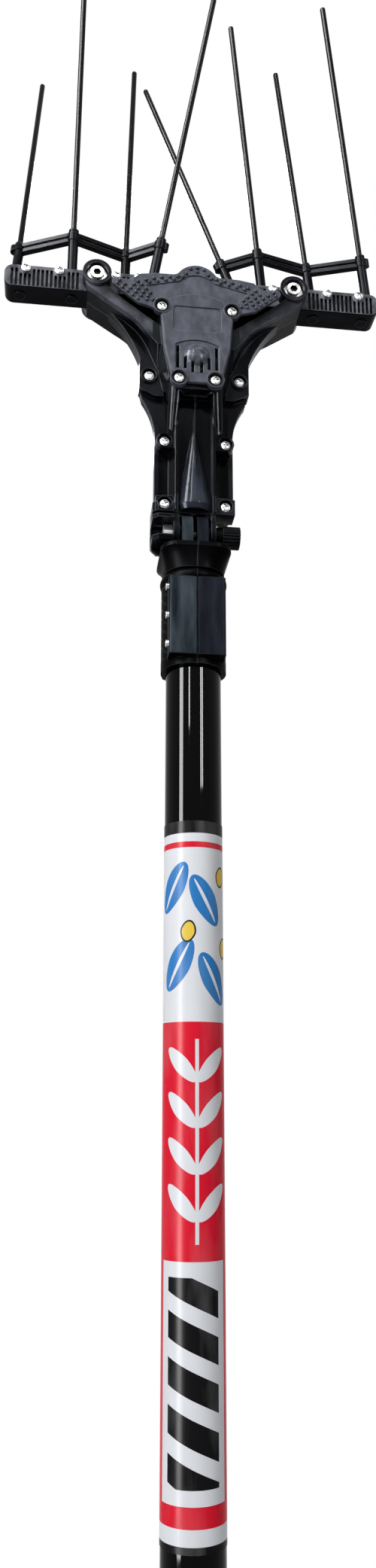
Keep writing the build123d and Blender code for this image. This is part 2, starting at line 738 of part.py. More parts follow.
# Front cover: bumped fin plate, smooth panel, proud tower face, dome and vents
cover_back_y = -22.0
cover_front_y = -25.0
face_proud = 1.0
ear_floor_y = cover_back_y - 1.2
panel_sunk = 0.8
vents = [(15.0, 128, 148), (9.2, 128, 138.5), (3.4, 125, 134)]
dome_z = hinge_z + 140.5
dome_r = 10.0
dome_sphere_r = 14.0
with BuildPart() as front_cover:
    with BuildSketch(front(cover_back_y)):
        for side in (-1, 1):
            with BuildLine():
                Line((0, hinge_z + 117), (0, hinge_z + 222.5))
                ThreePointArc(
                    (0, hinge_z + 222.5),
                    (side * 8.5, hinge_z + 220.2),
                    (side * 14.5, hinge_z + 214.6),
                )
                ThreePointArc(
                    (side * 14.5, hinge_z + 214.6),
                    (side * 17, hinge_z + 213),
                    (side * 20, hinge_z + 212.6),
                )
                Polyline(
                    (side * 20, hinge_z + 212.6),
                    (side * 33, hinge_z + 212.4),
                    (side * 45, hinge_z + 210.5),
                    (side * 52, hinge_z + 204.6),
                    (side * 64, hinge_z + 205.2),
                )
                ThreePointArc(
                    (side * 64, hinge_z + 205.2),
                    (side * 66.2, hinge_z + 203.4),
                    (side * 65.6, hinge_z + 200),
                )
                Polyline(
                    (side * 65.6, hinge_z + 200),
                    (side * 46, hinge_z + 184.5),
                    (side * 36, hinge_z + 181.6),
                    (side * 28.4, hinge_z + 177),
                    (side * 25.8, hinge_z + 147),
                    (side * 20.5, hinge_z + 124.5),
                    (side * 16, hinge_z + 117),
                    (0, hinge_z + 117),
                )
            make_face()
    extrude(amount=cover_back_y - cover_front_y)
    # Ears that the cover screws sink into
    with BuildSketch(front(cover_back_y)):
        for x, z in cover_screw_places:
            with Locations((-x, z), (x, z)):
                Circle(6.8)
    extrude(amount=cover_back_y - cover_front_y + face_proud + 0.5)
    # Tower face, proud of the fins, with an arched top
    with BuildSketch(front(cover_front_y)):
        with BuildLine():
            Polyline(
                (-22, hinge_z + 189),
                (-27.4, hinge_z + 176),
                (-24.9, hinge_z + 147),
                (-19.6, hinge_z + 125),
                (19.6, hinge_z + 125),
                (24.9, hinge_z + 147),
                (27.4, hinge_z + 176),
                (22, hinge_z + 189),
            )
            ThreePointArc((22, hinge_z + 189), (0, hinge_z + 195), (-22, hinge_z + 189))
        make_face()
    extrude(amount=face_proud)
    # Smooth panel let into the fins above the face
    with BuildSketch(front(cover_front_y + panel_sunk)):
        with BuildLine():
            Polyline(
                (-22, hinge_z + 189),
                (-31, hinge_z + 190),
                (-40, hinge_z + 200.5),
                (-14, hinge_z + 207),
            )
            ThreePointArc(
                (-14, hinge_z + 207),
                (0, hinge_z + 213.5),
                (14, hinge_z + 207),
            )
            Polyline(
                (14, hinge_z + 207),
                (40, hinge_z + 200.5),
                (31, hinge_z + 190),
                (22, hinge_z + 189),
            )
            ThreePointArc((22, hinge_z + 189), (0, hinge_z + 195), (-22, hinge_z + 189))
        make_face()
    extrude(amount=panel_sunk, mode=Mode.SUBTRACT)
    # Recessed plate and the lower apron round the dome
    with BuildSketch(front(cover_front_y - face_proud + 0.8)):
        with Locations((0, hinge_z + 172.5)):
            RectangleRounded(37.5, 22, 3)
    extrude(amount=0.8, mode=Mode.SUBTRACT)
    with BuildSketch(front(cover_front_y - face_proud + 0.8)):
        with BuildLine():
            Line((-17, hinge_z + 121), (-17, hinge_z + 149))
            ThreePointArc((-17, hinge_z + 149), (0, hinge_z + 153.5), (17, hinge_z + 149))
            Polyline((17, hinge_z + 149), (17, hinge_z + 121), (-17, hinge_z + 121))
        make_face()
    extrude(amount=0.8, mode=Mode.SUBTRACT)
    dome_drop = (dome_sphere_r**2 - dome_r**2) ** 0.5
    with Locations((0, cover_front_y + dome_drop, dome_z)):
        Sphere(dome_sphere_r)
    with BuildSketch(front(cover_back_y)):
        Rectangle(200, 4000)
    extrude(amount=-60, mode=Mode.SUBTRACT)
    with BuildSketch(front(cover_back_y)):
        for x, low, high in vents:
            for side in (-1, 1):
                with Locations((side * x, hinge_z + (low + high) / 2)):
                    Rectangle(2.4, high - low)
    extrude(amount=6, mode=Mode.SUBTRACT)
    with BuildSketch(front(cover_back_y)):
        for x, z in cover_screw_places:
            with Locations((-x, z), (x, z)):
                Circle(2.1)
    extrude(amount=6, mode=Mode.SUBTRACT)
    with BuildSketch(front(ear_floor_y)):
        for x, z in cover_screw_places:
            with Locations((-x, z), (x, z)):
                Circle(5.3)
    extrude(amount=4, mode=Mode.SUBTRACT)
save(front_cover.part, "front_cover")

# Screws of the front cover
with BuildPart() as cover_screws:
    with BuildSketch(front(-11)):
        for x, z in cover_screw_places:
            with Locations((-x, z), (x, z)):
                Circle(2)
    extrude(amount=-11 - ear_floor_y)
    with BuildSketch(front(ear_floor_y)):
        for x, z in cover_screw_places:
            with Locations((-x, z), (x, z)):
                Circle(3.5)
    extrude(amount=2.0)
save(cover_screws.part, "cover_screws")

# Comb pivot bolts: flanged button heads with a hex socket, and nuts at the back
cup_floor_y = boss_front_y + cup_depth
with BuildPart() as pivot_bolts:
    with BuildSketch(front(boss_back_y - 1)):
        with Locations((-pivot_x, pivot_z), (pivot_x, pivot_z)):
            Circle(bolt_r)
    extrude(amount=boss_back_y - 1 - cup_floor_y)
    with BuildSketch(front(cup_floor_y)):
        with Locations((-pivot_x, pivot_z), (pivot_x, pivot_z)):
            Circle(7.7)
    extrude(amount=1.5)
    with BuildSketch(front(cup_floor_y - 1.5)):
        with Locations((-pivot_x, pivot_z), (pivot_x, pivot_z)):
            Circle(5.4)
    extrude(amount=4.2)
    with BuildSketch(front(cup_floor_y - 2.5)):
        with Locations((-pivot_x, pivot_z), (pivot_x, pivot_z)):
            RegularPolygon(3.2, 6)
    extrude(amount=4, mode=Mode.SUBTRACT)
save(pivot_bolts.part, "pivot_bolts")

with BuildPart() as pivot_nuts:
    with BuildSketch(front(boss_back_y - 0.5)):
        with Locations((-pivot_x, pivot_z), (pivot_x, pivot_z)):
            RegularPolygon(hex_radius, 6)
            Circle(bolt_r, mode=Mode.SUBTRACT)
    extrude(amount=cup_depth - 0.5)
save(pivot_nuts.part, "pivot_nuts")

# Motor with a front boss, a rear boss and a blind shaft bore
shaft_r = 2.5
with BuildPart() as motor:
    with BuildSketch(front(motor_back_y)):
        with Locations((0, motor_z)):
            Circle(motor_r)
    extrude(amount=motor_back_y - motor_front_y)
    with BuildSketch(front(motor_front_y)):
        with Locations((0, motor_z)):
            Circle(6.5)
    extrude(amount=2)
    with BuildSketch(front(motor_front_y + 12)):
        with Locations((0, motor_z)):
            Circle(shaft_r + running)
    extrude(amount=14, mode=Mode.SUBTRACT)
save(motor.part, "motor")

# Steel plate that carries the motor, held between the two shells
with BuildPart() as motor_plate:
    with BuildSketch(front(motor_front_y)):
        with Locations((0, motor_z - 1)):
            RectangleRounded(54, 40, 4)
        with Locations((0, motor_z)):
            Circle(6.5, mode=Mode.SUBTRACT)
    extrude(amount=motor_front_y - 0.2)
save(motor_plate.part, "motor_plate")


def tooth_points(teeth, backlash):
    """One involute tooth of a spur gear, centred on the x axis."""
    pressure = radians(20)
    pitch_r = gear_module * teeth / 2
    base_r = pitch_r * cos(pressure)
    root_r = pitch_r - 1.25 * gear_module
    tip_r = pitch_r + 0.9 * gear_module
    half_at_pitch = pi / (2 * teeth) - backlash / pitch_r
    flank = []
    for radius in (root_r - 0.3, max(base_r, root_r), pitch_r, tip_r):
        angle = acos(min(1, base_r / radius))
        half = half_at_pitch + (tan(pressure) - pressure) - (tan(angle) - angle)
        flank.append((radius * cos(half), radius * sin(half)))
    return [(x, -y) for x, y in flank] + list(reversed(flank))


# Motor pinion on the motor shaft, a gap between teeth towards the crank gear
backlash = 0.1
with BuildPart() as motor_pinion:
    with BuildSketch(front(gear_back_y - 0.2)):
        with Locations((0, motor_z)):
            Circle(gear_module * (pinion_teeth / 2 - 1.25))
            with PolarLocations(0, pinion_teeth, start_angle=90 + 180 / pinion_teeth):
                Polygon(*tooth_points(pinion_teeth, backlash), align=None)
    extrude(amount=gear_back_y - gear_front_y - 0.4)
    with BuildSketch(front(motor_front_y + 11)):
        with Locations((0, motor_z)):
            Circle(shaft_r)
    extrude(amount=motor_front_y + 11 - gear_front_y + 1)
save(motor_pinion.part, "motor_pinion")

# Crank gear with its front shaft and its crank pin
crank_shaft_r = 5.0
crank_pin_r = 2.4
with BuildPart() as crank_gear:
    with BuildSketch(front(gear_back_y)):
        with Locations((0, crank_z)):
            Circle(gear_module * (gear_teeth / 2 - 1.25))
            with PolarLocations(0, gear_teeth, start_angle=-90):
                Polygon(*tooth_points(gear_teeth, backlash), align=None)
            with PolarLocations(13.5, 6, start_angle=30):
                Circle(3.6, mode=Mode.SUBTRACT)
    extrude(amount=gear_back_y - gear_front_y)
    with BuildSketch(front(gear_front_y)):
        with Locations((0, crank_z)):
            Circle(crank_shaft_r - running)
    extrude(amount=gear_front_y - cover_back_y - 0.4)
    with BuildSketch(front(-0.7)):
        with Locations((crank_throw, crank_z)):
            Circle(crank_pin_r)
    extrude(amount=-0.7 - gear_back_y)
save(crank_gear.part, "crank_gear")

# Roller on the crank pin
with BuildPart() as crank_roller:
    with BuildSketch(front(-0.8)):
        with Locations((crank_throw, crank_z)):
            Circle(roller_r)
            Circle(crank_pin_r, mode=Mode.SUBTRACT)
    extrude(amount=8.8)
save(crank_roller.part, "crank_roller")

# Bearing plate behind the cover, with the bush that the crank shaft turns in
bush_outer_r = 7.5
with BuildPart() as bearing_plate:
    with BuildSketch(front(gear_front_y - 0.8)):
        with Locations((0, crank_z)):
            RectangleRounded(48.8, 32, 3)
            Circle(bush_outer_r, mode=Mode.SUBTRACT)
    extrude(amount=gear_front_y - 0.8 - cover_back_y)
save(bearing_plate.part, "bearing_plate")

with BuildPart() as crank_bush:
    with BuildSketch(front(gear_front_y - 0.4)):
        with Locations((0, crank_z)):
            Circle(bush_outer_r)
            Circle(crank_shaft_r, mode=Mode.SUBTRACT)
    extrude(amount=gear_front_y - 0.4 - cover_back_y)
save(crank_bush.part, "crank_bush")

# Combs: a bar on each side with four tines, which lean to the front and the back by turns
bar_screw_places = [-55.5, -29.5, 15.0, 33.0]
bar_screw_z = pivot_z + 6
bar_screw_depth = 5.2
groove_pitch = 3.4
groove_width = 2.0
groove_depth = 2.0
groove_places = [-66 + groove_pitch * step for step in range(16)]
groove_places += [18 + groove_pitch * step for step in range(3)]
bar_top_z = pivot_z + bar_height / 2
lever_top_z = pivot_z - 0.8
rivet_places = [36.0, 56.0]
for side, comb, tines in ((-1, "left", left_tines), (1, "right", right_tines)):
    lever_front_y, lever_back_y = lever_layers[comb]
    middle = side * (pivot_x - (bar_inner - bar_outer) / 2)
    tine_planes = [
        Plane(
            origin=(side * (pivot_x - place), tine_stagger if backward > 0 else -tine_stagger, bar_top_z),
            x_dir=(1, 0, 0),
            z_dir=(-side * tan(radians(inward)), tan(radians(backward)), 1),
        )
        for place, backward, inward in tines
    ]

    # Bar with ribbed faces, bored for the bush and the sockets, slotted for the lever
    with BuildPart() as comb_bar:
        with BuildSketch(front(bar_depth / 2)):
            with Locations((middle, pivot_z)):
                RectangleRounded(bar_outer + bar_inner, bar_height, 7)
        extrude(amount=bar_depth)
        fillet(comb_bar.edges().group_by(Axis.Y)[0] + comb_bar.edges().group_by(Axis.Y)[-1], radius=1.2)
        with BuildSketch(Plane.XY.offset(pivot_z - bar_height / 2 - 1.2)):
            with Locations((side * (pivot_x + 60), 0), (side * (pivot_x + 19.5), 0)):
                Circle(4.4)
        extrude(amount=3)
        for face_y in (bar_depth / 2, -bar_depth / 2 + groove_depth):
            with BuildSketch(front(face_y)):
                for place in groove_places:
                    near_screw = any(abs(place - screw) < 4.6 for screw in bar_screw_places)
                    height = 11 if near_screw else 15.5
                    with Locations((side * (pivot_x - place), pivot_z - 9 + height / 2)):
                        Rectangle(groove_width, height)
            extrude(amount=groove_depth, mode=Mode.SUBTRACT)
        with BuildSketch(front(bar_depth / 2)):
            with Locations((side * pivot_x, pivot_z)):
                Circle(bush_r)
            with Locations(*[(side * (pivot_x - place), pivot_z - 5) for place in rivet_places]):
                Circle(1.6)
        extrude(amount=bar_depth, mode=Mode.SUBTRACT)
        with BuildSketch(front(-bar_depth / 2)):
            with Locations(*[(side * (pivot_x - place), bar_screw_z) for place in bar_screw_places]):
                Circle(1.8)
        extrude(amount=-bar_screw_depth, mode=Mode.SUBTRACT)
        with BuildSketch(front(lever_back_y)):
            with Locations((side * (pivot_x - 46), (pivot_z - bar_height / 2 + lever_top_z) / 2)):
                Rectangle(36, lever_top_z - pivot_z + bar_height / 2)
        extrude(amount=lever_back_y - lever_front_y, mode=Mode.SUBTRACT)
        for tine_plane in tine_planes:
            with BuildSketch(tine_plane.offset(-socket_sunk)):
                Circle(socket_r)
            extrude(amount=socket_sunk + 4, mode=Mode.SUBTRACT)
    save(comb_bar.part, f"{comb}_comb_bar")

    # Tine sockets and the zigzag brace between them, one moulding
    with BuildPart() as tine_carrier:
        for tine_plane in tine_planes:
            with BuildSketch(tine_plane.offset(-socket_sunk)):
                Circle(socket_r)
            extrude(amount=socket_sunk + brace_height + 5)
            with BuildSketch(tine_plane.offset(brace_height - 4)):
                Circle(socket_r + 0.8)
            extrude(amount=6)
        for tine_plane, outward in ((tine_planes[0], side), (tine_planes[-1], -side)):
            with BuildSketch(tine_plane.offset(brace_height - 4)):
                with Locations((outward * socket_r, 0)):
                    Circle(3)
            extrude(amount=6)
        knots = [tine_plane.origin + tine_plane.z_dir * (brace_height - 1) for tine_plane in tine_planes]
        for start, end in zip(knots, knots[1:]):
            beam = end - start
            with BuildSketch(Plane(origin=start, x_dir=(0, 1, 0), z_dir=beam)):
                Rectangle(5, 8)
                with Locations((-2.5, 0), (2.5, 0)):
                    Rectangle(2.4, 2.2, mode=Mode.SUBTRACT)
            extrude(amount=beam.length)
        for tine_plane in tine_planes:
            with BuildSketch(tine_plane.offset(-socket_sunk + 2)):
                Circle(tine_r)
            extrude(amount=socket_sunk + brace_height + 6, mode=Mode.SUBTRACT)
    save(tine_carrier.part, f"{comb}_tine_carrier")

    # Long round tines with rounded tips
    with BuildPart() as tine_set:
        for tine_plane in tine_planes:
            with BuildSketch(tine_plane.offset(-socket_sunk + 2)):
                Circle(tine_r)
            extrude(amount=socket_sunk - 2 + tine_length)
        rims = tine_set.edges().filter_by(GeomType.CIRCLE)
        fillet(rims.filter_by_position(Axis.Z, bar_top_z + 99, bar_top_z + 400), radius=1.6)
    save(tine_set.part, f"{comb}_tines")

    # Bar screws, heads to the front
    with BuildPart() as bar_screws:
        with BuildSketch(front(-bar_depth / 2)):
            with Locations(*[(side * (pivot_x - place), bar_screw_z) for place in bar_screw_places]):
                Circle(1.8)
        extrude(amount=0.2 - bar_screw_depth)
        with BuildSketch(front(-bar_depth / 2)):
            with Locations(*[(side * (pivot_x - place), bar_screw_z) for place in bar_screw_places]):
                Circle(3.5)
        extrude(amount=2)
    save(bar_screws.part, f"{comb}_bar_screws")

    # Bush in the bar that turns on the pivot bolt
    with BuildPart() as pivot_bush:
        with BuildSketch(front(bar_depth / 2)):
            with Locations((side * pivot_x, pivot_z)):
                Circle(bush_r)
                Circle(bolt_r + running, mode=Mode.SUBTRACT)
        extrude(amount=bar_depth)
    save(pivot_bush.part, f"{comb}_pivot_bush")

    # Drive lever: riveted into the bar, with a level slot round the crank roller
    with BuildPart() as drive_lever:
        with BuildSketch(front(lever_back_y)):
            with BuildLine():
                Polyline(
                    (side * 12, crank_z - 3),
                    (side * 14, hinge_z + 181),
                    (side * 20, hinge_z + 194),
                    (side * 28, hinge_z + 199.5),
                    (side * 50, pivot_z - bar_height / 2),
                    (side * 50, lever_top_z),
                    (side * 14, lever_top_z),
                    (side * 14, hinge_z + 202),
                    (side * 6, hinge_z + 188),
                    (-side * 2, crank_z + 8),
                    (side * 12, crank_z - 3),
                )
            make_face()
            with Locations((slot_x, crank_z)):
                SlotOverall(slot_length + 7, 2 * slot_half + 7)
                SlotOverall(slot_length, 2 * slot_half, mode=Mode.SUBTRACT)
            with Locations(*[(side * (pivot_x - place), pivot_z - 5) for place in rivet_places]):
                Circle(1.6, mode=Mode.SUBTRACT)
        extrude(amount=lever_back_y - lever_front_y)
    save(drive_lever.part, f"{comb}_drive_lever")

    with BuildPart() as lever_rivets:
        with BuildSketch(front(bar_depth / 2)):
            with Locations(*[(side * (pivot_x - place), pivot_z - 5) for place in rivet_places]):
                Circle(1.6)
        extrude(amount=bar_depth)
    save(lever_rivets.part, f"{comb}_lever_rivets")
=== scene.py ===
import bpy
from math import cos, pi, radians, sin
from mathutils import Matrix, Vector


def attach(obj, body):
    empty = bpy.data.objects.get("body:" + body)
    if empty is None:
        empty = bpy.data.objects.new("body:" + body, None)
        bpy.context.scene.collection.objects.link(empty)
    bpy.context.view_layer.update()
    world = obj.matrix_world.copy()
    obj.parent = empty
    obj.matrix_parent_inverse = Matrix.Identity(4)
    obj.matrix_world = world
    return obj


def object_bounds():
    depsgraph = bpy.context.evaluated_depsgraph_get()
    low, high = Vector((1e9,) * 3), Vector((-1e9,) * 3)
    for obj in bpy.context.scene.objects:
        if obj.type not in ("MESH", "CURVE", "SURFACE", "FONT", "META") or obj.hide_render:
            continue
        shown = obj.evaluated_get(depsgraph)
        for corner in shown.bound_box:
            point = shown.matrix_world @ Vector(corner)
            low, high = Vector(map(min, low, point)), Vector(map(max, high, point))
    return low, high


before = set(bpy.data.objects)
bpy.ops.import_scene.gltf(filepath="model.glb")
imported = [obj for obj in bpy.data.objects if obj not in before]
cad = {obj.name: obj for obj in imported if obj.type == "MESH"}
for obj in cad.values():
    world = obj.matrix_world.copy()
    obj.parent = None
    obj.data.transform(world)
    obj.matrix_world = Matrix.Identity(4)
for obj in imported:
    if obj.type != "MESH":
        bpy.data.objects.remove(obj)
cad_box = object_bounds()


# Pole tube. A drawn aluminium tube, 40 mm across, lacquered in gloss black.
# The lacquer has a faint orange peel, and handling has dulled it a little in long smears.
def add_node(tree, kind, inputs, settings):
    """One node of a tree, its inputs given as (socket, value or another node's output)."""
    made = tree.nodes.new(kind)
    for setting, value in settings.items():
        setattr(made, setting, value)
    for socket, value in inputs:
        if isinstance(value, bpy.types.NodeSocket):
            tree.links.new(value, made.inputs[socket])
        else:
            made.inputs[socket].default_value = value
    return made


def step(finish, kind, *inputs, **settings):
    """One shader node of a finish, or of the surround."""
    return add_node(finish.node_tree, "ShaderNode" + kind, inputs, settings)


def new_finish(name, colour, roughness, shine, metal=0.0):
    """A finish with its plain values on the shader's own sockets."""
    finish = bpy.data.materials.new(name)
    finish.use_nodes = True
    shader = finish.node_tree.nodes["Principled BSDF"].inputs
    shader["Base Color"].default_value = (*colour, 1)
    shader["Roughness"].default_value = roughness
    shader["Specular IOR Level"].default_value = shine
    shader["Metallic"].default_value = metal
    step(finish, "TexCoord")
    return finish


def place_on(finish):
    """The place on the piece, in the frame's own metres."""
    return finish.node_tree.nodes["Texture Coordinate"].outputs["Object"]


def drive(finish, socket, value):
    """Lets a value that changes over the piece set one input of the shader."""
    finish.node_tree.links.new(value, finish.node_tree.nodes["Principled BSDF"].inputs[socket])


def noise(finish, scale, detail=3.0, stretch=(1, 1, 1)):
    """Cloudy values from 0 to 1, stretched along the piece's axes."""
    spread = step(finish, "Mapping", ("Vector", place_on(finish)), ("Scale", stretch))
    cloud = step(finish, "TexNoise", ("Vector", spread.outputs[0]), ("Scale", scale), ("Detail", detail))
    return cloud.outputs["Fac"]


def spread_over(finish, value, low, high, start=0.0, end=1.0):
    """Values between low and high turned into values between start and end."""
    ramp = step(finish, "MapRange", ("Value", value), ("From Min", low), ("From Max", high),
                ("To Min", start), ("To Max", end))
    return ramp.outputs["Result"]


def mix(finish, share, under, over):
    """A colour that goes from one to another as the share goes from 0 to 1."""
    first, last = [end if isinstance(end, bpy.types.NodeSocket) else (*end, 1) for end in (under, over)]
    return step(finish, "Mix", ("Factor", share), ("A", first), ("B", last), data_type="RGBA").outputs[2]


def relief(finish, height, depth, strength, edge=0.0):
    """Surface relief from the height values, on edges broken by a small radius where one is given."""
    bump = step(finish, "Bump", ("Height", height), ("Distance", depth), ("Strength", strength))
    if edge:
        broken = step(finish, "Bevel", ("Radius", edge), samples=4)
        finish.node_tree.links.new(broken.outputs[0], bump.inputs["Normal"])
    drive(finish, "Normal", bump.outputs[0])


def dress(finish, *names):
    """Puts the finish on CAD nodes."""
    for name in names:
        for slot in cad[name].material_slots:
            slot.material = finish


lacquer = new_finish("pole_lacquer", (0.0008, 0.0008, 0.001), roughness=0.04, shine=0.05)
smears = noise(lacquer, scale=30, detail=4, stretch=(1, 1, 0.12))
drive(lacquer, "Base Color", mix(lacquer, smears, (0.0006, 0.0006, 0.0008), (0.002, 0.002, 0.0026)))
drive(lacquer, "Roughness", spread_over(lacquer, smears, low=0.4, high=0.75, start=0.025, end=0.08))
relief(lacquer, noise(lacquer, scale=90, detail=2, stretch=(1, 1, 0.5)), depth=0.0002, strength=0.06)
dress(lacquer, "pole_tube")


# Printed film sleeve. A shrunk film round the pole with satin black margins, printed in white, red, blue
# and yellow. The print is plain leaves, rings and bars of our own, rubbed a little by handling.
def measure(finish, kind, a, b=0.0):
    """One sum of two values, or one comparison."""
    return step(finish, "Math", (0, a), (1, b), operation=kind).outputs[0]


def below(finish, value, limit):
    """A mask that is 1 where the value is less than the limit."""
    return measure(finish, "LESS_THAN", value, limit)


def above(finish, value, limit):
    """A mask that is 1 where the value is more than the limit."""
    return measure(finish, "GREATER_THAN", value, limit)


def all_of(finish, mask, *others):
    """A mask that is 1 only where each of the given ones is."""
    for other in others:
        mask = measure(finish, "MULTIPLY", mask, other)
    return mask


def between(finish, value, low, high):
    """A mask that is 1 where the value lies between two limits."""
    return all_of(finish, above(finish, value, low), below(finish, value, high))


def where(finish):
    """The X, Y and Z of the place on the piece."""
    return step(finish, "SeparateXYZ", ("Vector", place_on(finish))).outputs


film_r = 0.0203
white = (0.78, 0.80, 0.84)
red = (0.74, 0.012, 0.034)
blue = (0.03, 0.21, 0.56)
yellow = (0.86, 0.60, 0.07)
ink = (0.006, 0.006, 0.007)
worn_grey = (0.45, 0.45, 0.46)
film = new_finish("printed_film", white, roughness=0.3, shine=0.03)
x, y, up_pole = where(film)
turn = measure(film, "ARCTAN2", x, measure(film, "MULTIPLY", y, -1.0))
round_pole = measure(film, "MULTIPLY", turn, film_r)


def oval(across, height, half_long, half_wide, tilt):
    """Mask of an oval round a spot on the unrolled film, its long axis tilted from upright."""
    off_x = measure(film, "SUBTRACT", round_pole, across)
    off_z = measure(film, "SUBTRACT", up_pole, height)
    shares = []
    for half, power, x_part, z_part in ((half_wide, 2.0, cos(tilt), -sin(tilt)),
                                        (half_long, 1.6, sin(tilt), cos(tilt))):
        along = measure(film, "ADD", measure(film, "MULTIPLY", off_x, x_part),
                        measure(film, "MULTIPLY", off_z, z_part))
        share = measure(film, "ABSOLUTE", measure(film, "DIVIDE", along, half))
        shares.append(measure(film, "POWER", share, power))
    return below(film, measure(film, "ADD", *shares), 1.0)


def patch(height_range, across_range):
    """Mask of an upright rectangle on the unrolled film."""
    return all_of(film, between(film, up_pole, *height_range), between(film, round_pole, *across_range))


margin_top = 1.129
red_line = (1.119, 1.123)
red_field = (0.714, 1.003)
margin_bottom = 0.705
leaves = ((-0.017, 1.092, 0.5), (0.006, 1.083, -0.5), (-0.013, 1.040, 0.5), (0.012, 1.031, -0.5))
rings = ((0.020, 1.100), (-0.006, 1.062), (0.024, 1.052))
ring_tilt = 0.2
twig_leaf_across = 0.0105
twig_leaf_low = 0.892
twig_leaf_step = 0.028
twig_leaf_tilt = 0.75
bar_slope = 0.45
bar_step = 0.026
bar_width = 0.0155
inks = [(between(film, up_pole, *red_line), red)]
for across, height, tilt in leaves:
    inks.append((oval(across, height, half_long=0.019, half_wide=0.0085, tilt=tilt), blue))
    inks.append((oval(across, height, half_long=0.0165, half_wide=0.0012, tilt=tilt), white))
for across, height in rings:
    inks.append((oval(across, height, half_long=0.0075, half_wide=0.0055, tilt=ring_tilt), ink))
    inks.append((oval(across, height, half_long=0.0063, half_wide=0.0044, tilt=ring_tilt), yellow))
inks.append((between(film, up_pole, *red_field), red))
inks.append((patch(height_range=(0.868, 0.992), across_range=(-0.0012, 0.0012)), white))
for pair in range(4):
    for side in (-1, 1):
        leaf = oval(side * twig_leaf_across, twig_leaf_low + twig_leaf_step * pair, half_long=0.0145,
                    half_wide=0.0052, tilt=side * twig_leaf_tilt)
        inks.append((leaf, white))
inks.append((patch(height_range=(0.7255, 0.858), across_range=(-0.026, 0.021)), white))
slant = measure(film, "ADD", up_pole, measure(film, "MULTIPLY", round_pole, bar_slope))
slanting = below(film, measure(film, "FLOORED_MODULO", slant, bar_step), bar_width)
bars = all_of(film, slanting, patch(height_range=(0.734, 0.849), across_range=(-0.020, 0.015)))
inks.append((bars, ink))
inks.append((below(film, up_pole, red_field[0]), white))
inks.append((below(film, up_pole, margin_bottom), ink))
inks.append((above(film, up_pole, margin_top), ink))
printed = white
for mask, colour in inks:
    printed = mix(film, mask, printed, colour)
most_rubbed = 0.16
handled = noise(film, scale=60, detail=4, stretch=(1, 1, 0.25))
rubbed = spread_over(film, handled, low=0.45, high=0.8, end=most_rubbed)
drive(film, "Base Color", mix(film, rubbed, printed, worn_grey))
drive(film, "Roughness", spread_over(film, rubbed, low=0.0, high=most_rubbed, start=0.26, end=0.44))
relief(film, noise(film, scale=220, detail=2), depth=0.0001, strength=0.08)
dress(film, "label_sleeve")

# Rubber grip. Soft black rubber pushed over the tube, with rings for the fingers.
# Its skin is finely pebbled and a little greyed where it is held.
rubber = new_finish("grip_rubber", (0.012, 0.012, 0.012), roughness=0.75, shine=0.3)
held = noise(rubber, scale=25, detail=4)
drive(rubber, "Base Color", mix(rubber, held, (0.008, 0.008, 0.008), (0.024, 0.024, 0.023)))
pebbles = step(rubber, "TexVoronoi", ("Vector", place_on(rubber)), ("Scale", 520), feature="SMOOTH_F1")
relief(rubber, pebbles.outputs["Distance"], depth=0.0004, strength=0.5)
dress(rubber, "hand_grip")


# Switch housing, end cap, inlet and hinge washers. Black nylon mouldings with a spark-eroded grain. The
# housing is pushed on the tube, the cap is plugged into its end and holds the inlet, and the washers sit
# in the tilt hinge.
def edge_wear_and_highlight(finish, reach):
    """Values from 0 to 1 along the outer edges, broken up as rubbing leaves them; they mark rubbed wear and
    painted edge highlights.
    """
    rounded = step(finish, "Bevel", ("Radius", reach), samples=8).outputs[0]
    facing = step(finish, "NewGeometry").outputs["Normal"]
    turned = step(finish, "VectorMath", (0, rounded), (1, facing), operation="DOT_PRODUCT").outputs["Value"]
    open_air = step(finish, "AmbientOcclusion", ("Distance", 2.5 * reach), samples=6).outputs["AO"]
    sharp = spread_over(finish, turned, low=0.99, high=0.86)
    outer = spread_over(finish, open_air, low=0.55, high=0.8)
    patchy = spread_over(finish, noise(finish, scale=90, detail=4), low=0.35, high=0.6, start=0.35)
    return all_of(finish, sharp, outer, patchy)


def moulded(name, dark, light, worn_and_lit_edge, roughness, shine, grain, edge, smear=(1, 1, 0.3), patches=45):
    """A moulded plastic: cloudy colour, painted shade in its corners, edges lightened as rubbed wear and as
    painted highlights, and a fine grain.
    """
    finish = new_finish(name, dark, roughness, shine)
    finish.node_tree.nodes["Principled BSDF"].inputs["Specular Tint"].default_value = (0.86, 0.92, 1, 1)
    rub = noise(finish, scale=patches, detail=7, stretch=smear)
    cloudy = mix(finish, spread_over(finish, rub, low=0.4, high=0.66), dark, light)
    # Painted shade: the colour darkens in corners and recesses, where shade falls, through the ambient
    # occlusion below.
    sky = step(finish, "AmbientOcclusion", ("Distance", 0.02), samples=6).outputs["AO"]
    painted_corner_shade = tuple(0.25 * part for part in dark)
    with_corner_shade = mix(finish, spread_over(finish, sky, low=0.25, high=0.8), painted_corner_shade, cloudy)
    # Partly painted highlight: outer edges take the lighter edge colour, partly as rubbed wear and partly as
    # painted highlights.
    drive(finish, "Base Color", mix(finish, edge_wear_and_highlight(finish, edge), with_corner_shade, worn_and_lit_edge))
    drive(finish, "Roughness", spread_over(finish, rub, low=0.35, high=0.7, start=roughness - 0.06,
                                           end=roughness + 0.1))
    relief(finish, noise(finish, scale=grain, detail=2), depth=0.0001, strength=0.12, edge=edge)
    return finish


nylon = moulded("black_nylon", dark=(0.004, 0.004, 0.005), light=(0.012, 0.0125, 0.015),
                worn_and_lit_edge=(0.03, 0.031, 0.036), roughness=0.34, shine=0.05, grain=2200, edge=0.0008)
dress(nylon, "switch_housing", "end_cap", "power_inlet", "friction_washers")

